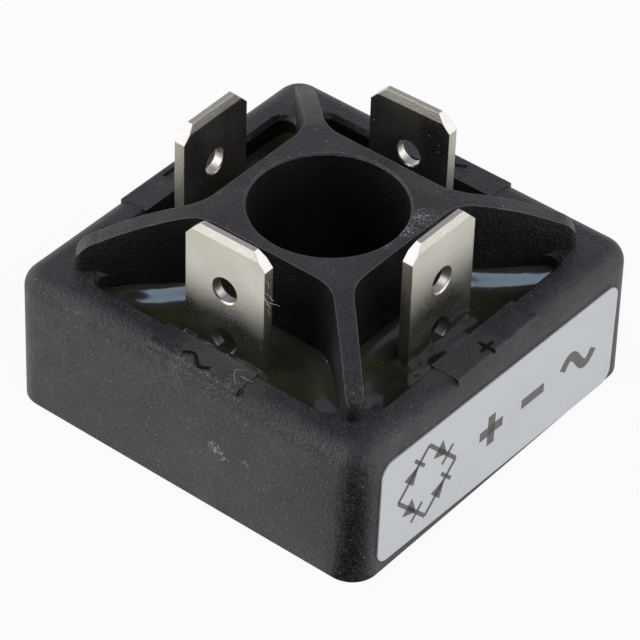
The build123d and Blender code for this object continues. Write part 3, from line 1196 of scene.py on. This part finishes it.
@dataclass
class Stage:
    """Floor, lamps, world and camera of a small studio."""

    floor_half: float = 1.2
    floor_drop: float = 0.00002
    floor_white: Colour = (0.9, 0.9, 0.9)
    floor_glow: float = 0.92
    camera_place: Point = (0.11519, -0.14845, 0.16405)
    right: Point = (0.77544, 0.63091, 0.02538)
    up: Point = (-0.42298, 0.48919, 0.76275)
    back: Point = (0.46881, -0.60220, 0.64619)
    lens: float = 213.2
    film_width: float = 36.0
    clip: Pair = (0.01, 10.0)
    dark_from: Point = (0.0127, -0.0127, 0.0)
    dark_way: Point = (0.614, -0.789, 0.0)
    dark_edge: Pair = (0.35, 0.75)
    dark_level: float = 0.03
    bore_shadow: Pair = (0.0055, 0.0075)
    sky: float = 0.22
    ceiling: float = 0.56
    overhead: float = 0.35
    ceiling_tint: Colour = (0.95, 0.9, 1.16)
    lamps: tuple[Lamp, ...] = (
        Lamp("left_box", (-0.8, -0.58, 0.44), (1.6, 1.1), 10.0, (1.0, 0.99, 0.98)),
        Lamp("right_box", (0.9, 0.14, 0.36), (1.6, 1.1), 9.0, (0.98, 0.99, 1.0)),
        Lamp("sky_box", (0.085, -0.008, 0.6), (0.13, 0.13), 0.24, (0.72, 0.86, 1.0)),
    )

    def lit_room(self, nodes: Nodes, place: Socket, origin: Point) -> Socket:
        """Everything but the unlit side of the room, where the photographer stood.

        Args:
            nodes: nodes that the mask goes to.
            place: a position or a direction.
            origin: the point that directions are taken from.

        Returns:
            The mask.
        """
        away = nodes.level_way(nodes.vector("SUBTRACT", place, origin))
        towards = nodes.vector("DOT_PRODUCT", away, self.dark_way)
        return nodes.ramp(towards, *self.dark_edge, 1.0, self.dark_level)

    def rays(self, nodes: Nodes) -> tuple[Socket, Socket]:
        """Masks of what the camera sees itself and of what it sees mirrored or through a piece."""
        rays = nodes.add("ShaderNodeLightPath").outputs
        return rays["Is Camera Ray"], nodes.largest(rays["Is Glossy Ray"], rays["Is Transmission Ray"])

    def close(self, nodes: Nodes, kind: str, share: Socket, first: Node, second: Node) -> None:
        """Mix two shaders into the tree's output.

        Args:
            nodes: nodes of the floor or the world.
            kind: Blender's name of the output node's type.
            share: share of the second shader.
            first: first shader.
            second: second shader.
        """
        mix = nodes.add("ShaderNodeMixShader", Fac=share)
        nodes.put(mix.inputs[1], first.outputs[0])
        nodes.put(mix.inputs[2], second.outputs[0])
        nodes.add(kind, Surface=mix.outputs[0])

    def floor(self) -> None:
        """White floor that keeps a faint shadow and is mirrored white where the room is lit."""
        mesh = bpy.data.meshes.new("floor")
        h = self.floor_half
        mesh.from_pydata([(-h, -h, 0), (h, -h, 0), (h, h, 0), (-h, h, 0)], [], [(0, 1, 2, 3)])
        floor = bpy.data.objects.new("floor", mesh)
        floor.location.z = -self.floor_drop
        bpy.context.scene.collection.objects.link(floor)
        material = bpy.data.materials.new("white_floor")
        material.use_nodes = True
        material.node_tree.nodes.clear()
        nodes = Nodes(material.node_tree)
        camera, mirrored = self.rays(nodes)
        place = nodes.add("ShaderNodeNewGeometry").outputs["Position"]
        clear = nodes.math("SUBTRACT", 1.0, nodes.spot(place, ORIGIN, *self.bore_shadow))
        lit = nodes.times(self.lit_room(nodes, place, self.dark_from), clear)
        diffuse = nodes.add("ShaderNodeBsdfDiffuse", Color=self.floor_white)
        glow = nodes.add("ShaderNodeEmission", Color=WHITE, Strength=nodes.largest(camera, lit))
        share = nodes.largest(nodes.times(camera, self.floor_glow, clear), mirrored)
        self.close(nodes, "ShaderNodeOutputMaterial", share, diffuse, glow)
        mesh.materials.append(material)

    def world(self) -> None:
        """White backdrop for the camera and a plain even sky for the part."""
        world = bpy.data.worlds.new("studio")
        bpy.context.scene.world = world
        world.use_nodes = True
        world.node_tree.nodes.clear()
        nodes = Nodes(world.node_tree)
        camera, mirrored = self.rays(nodes)
        way = nodes.add("ShaderNodeTexCoord").outputs["Generated"]
        height = nodes.split(way)["Z"]
        upper = nodes.ramp(height, 0.15, 0.6, 1.0, self.ceiling)
        top = nodes.ramp(height, 0.8, 0.97, 1.0, self.overhead)
        room = nodes.times(upper, self.lit_room(nodes, way, ORIGIN), top)
        tint = nodes.mix(nodes.ramp(height, 0.3, 0.6), WHITE, self.ceiling_tint)
        sky = nodes.add("ShaderNodeBackground", Color=WHITE, Strength=self.sky)
        strength = nodes.largest(camera, room)
        backdrop = nodes.add("ShaderNodeBackground", Color=tint, Strength=strength)
        share = nodes.largest(camera, mirrored)
        self.close(nodes, "ShaderNodeOutputWorld", share, sky, backdrop)

    def camera(self) -> None:
        """Camera at the measured place, with the measured lens."""
        data = bpy.data.cameras.new("camera")
        data.sensor_fit = "HORIZONTAL"
        data.sensor_width = self.film_width
        data.lens = self.lens
        data.clip_start, data.clip_end = self.clip
        camera = bpy.data.objects.new("camera", data)
        bpy.context.scene.collection.objects.link(camera)
        axes = Matrix((self.right, self.up, self.back)).transposed().to_4x4()
        camera.matrix_world = Matrix.Translation(self.camera_place) @ axes
        bpy.context.scene.camera = camera

    def build(self) -> None:
        """Set up the whole studio."""
        self.camera()
        self.floor()
        self.world()
        for lamp in self.lamps:
            lamp.build()


# The whole part


@dataclass
class Rectifier:
    """The whole part: finishes for the CAD nodes and the pieces added to them."""

    effects: Effects = field(default_factory=Effects)

    def finishes(self) -> dict[str, Material]:
        """Make the finishes of the CAD nodes.

        Returns:
            Materials by how the names of the nodes that wear them start.
        """
        silicone = PlainSolid("seal_silicone", (0.16, 0.16, 0.165), (0.22, 0.22, 0.225))
        solder = PlainSolid("dull_solder", (0.42, 0.42, 0.43), (0.55, 0.55, 0.56), 1.0, 0.45)
        copper = PlainSolid("bare_copper", (0.6, 0.27, 0.14), (0.7, 0.36, 0.2), 1.0, 0.32).build()
        alumina = PlainSolid("alumina", (0.74, 0.73, 0.7), (0.82, 0.81, 0.78), 0.0, 0.6)
        silicon = PlainSolid("silicon_die", (0.09, 0.09, 0.11), (0.16, 0.16, 0.18), 0.8, 0.25)
        return {
            "housing": MouldedPlastic(self.effects).build(),
            "potting_resin": PottingResin(self.effects).build(),
            "terminal": TinnedMetal(self.effects).build(),
            "side_label": SatinFilm(self.effects).build(),
            "seal_bead": silicone.build(),
            "base_plate": GroundMetal().build(),
            "solder_layer": solder.build(),
            "ceramic_substrate": alumina.build(),
            "diode": silicon.build(),
            "back_copper": copper,
            "track": copper,
            "clip": copper,
        }

    def dress(self, finishes: dict[str, Material]) -> None:
        """Give every CAD node its material.

        Args:
            finishes: materials by how the nodes' names start.
        """
        for node in sorted(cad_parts):
            material = next(made for start, made in finishes.items() if node.startswith(start))
            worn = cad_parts[node].data.materials
            worn.clear()
            worn.append(material)
            LOG.info("dressed %s with %s", node, material.name)

    def build(self) -> None:
        """Dress every node and add the signs, the resin's surface, the print and the lint."""
        finishes = self.finishes()
        self.dress(finishes)
        # painted shade: near-black signs with faint reflection stand in for the shade in moulded strokes
        sign_plastic_painted_shade = MouldedPlastic(
            self.effects,
            name="sign_plastic_painted_shade",
            dark=(0.001, 0.001, 0.0011),
            light=(0.003, 0.003, 0.0034),
            roughness=0.38,
            specular=0.04,
            dust_amount=0.1,
            scuffs_and_edge_sheen=(),
        )
        signs = RimSigns(sign_plastic_painted_shade.build())
        signs.build(Side.FRONT, Polarity.WAVE, 0.35 * MM, "sign_ac_front")
        signs.build(Side.RIGHT, Polarity.PLUS, -0.5 * MM, "sign_plus")
        signs.build(Side.BACK, Polarity.WAVE, 0.0, "sign_ac_back")
        signs.build(Side.LEFT, Polarity.MINUS, 0.0, "sign_minus")
        ResinPool(finishes["potting_resin"]).build()
        SideLabel(PrintInk().build()).build()
        fibre = PlainSolid("lint_white", (0.7, 0.7, 0.7), (0.8, 0.8, 0.8), 0.0, 0.9)
        Lint(fibre.build()).build()


def main() -> None:
    """Build the studio and the part; the log lists each added piece's faces and each node's material."""
    logging.basicConfig(level=logging.INFO, format="%(message)s")
    bpy.context.scene.view_settings.view_transform = "Standard"
    Stage().build()
    Rectifier().build()


if __name__ == "__main__":
    main()
